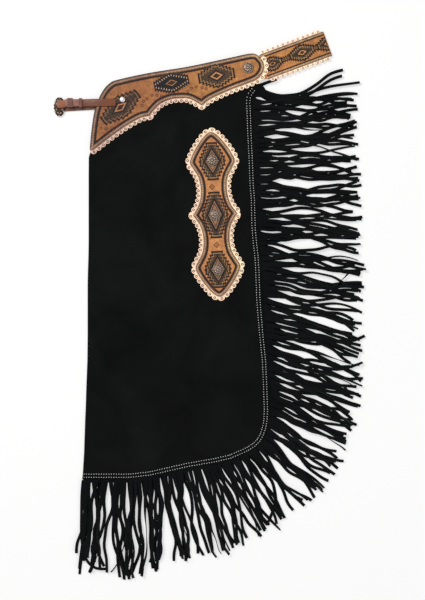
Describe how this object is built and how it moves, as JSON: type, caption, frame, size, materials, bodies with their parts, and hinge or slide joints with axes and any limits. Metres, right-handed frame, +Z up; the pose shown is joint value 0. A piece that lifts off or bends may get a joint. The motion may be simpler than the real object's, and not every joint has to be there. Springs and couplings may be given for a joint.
{
  "type": "fringed leather chaps, folded in half",
  "caption": "Short fringed suede chaps lying flat and folded in half, with tooled yokes, scalloped trim, a side overlay with conchos, a back belt and a buckled front strap.",
  "frame": {"origin": "middle of the folded garment's outline, on the plane that it lies on", "axes": "+Z up from that plane, +Y towards the waist, +X towards the fringed side"},
  "size_m": [0.6257, 1.1043, 0.0152],
  "materials": {
    "suede": "napped black suede, matt",
    "tooled": "tooled tan leather, antiqued, satin",
    "trim": "pale natural leather, satin",
    "strap": "oiled brown leather, satin",
    "silver": "antique silver, cast",
    "nickel": "bright nickel"
  },
  "bodies": {
    "root": {"leg_upper": "suede", "leg_lower": "suede", "fringe_side_upper": "suede", "fringe_corner_upper": "suede", "fringe_hem_upper": "suede", "fringe_side_lower": "suede", "fringe_corner_lower": "suede", "fringe_hem_lower": "suede", "yoke_upper": "tooled", "yoke_lower": "tooled", "overlay_upper": "tooled", "overlay_lower": "tooled", "belt": "tooled", "yoke_trim_upper": "trim", "yoke_trim_lower": "trim", "overlay_trim_upper": "trim", "overlay_trim_lower": "trim", "belt_trim_low_upper": "trim", "belt_trim_high_upper": "trim", "belt_trim_low_lower": "trim", "belt_trim_high_lower": "trim", "strap_upper": "strap", "strap_lower": "strap", "strap_end": "strap", "keeper_wide": "strap", "keeper_narrow": "strap", "concho_top": "silver", "concho_middle": "silver", "concho_bottom": "silver", "yoke_snap": "silver", "buckle_frame": "silver", "yoke_rivet": "nickel"}
  },
  "joints": []
}
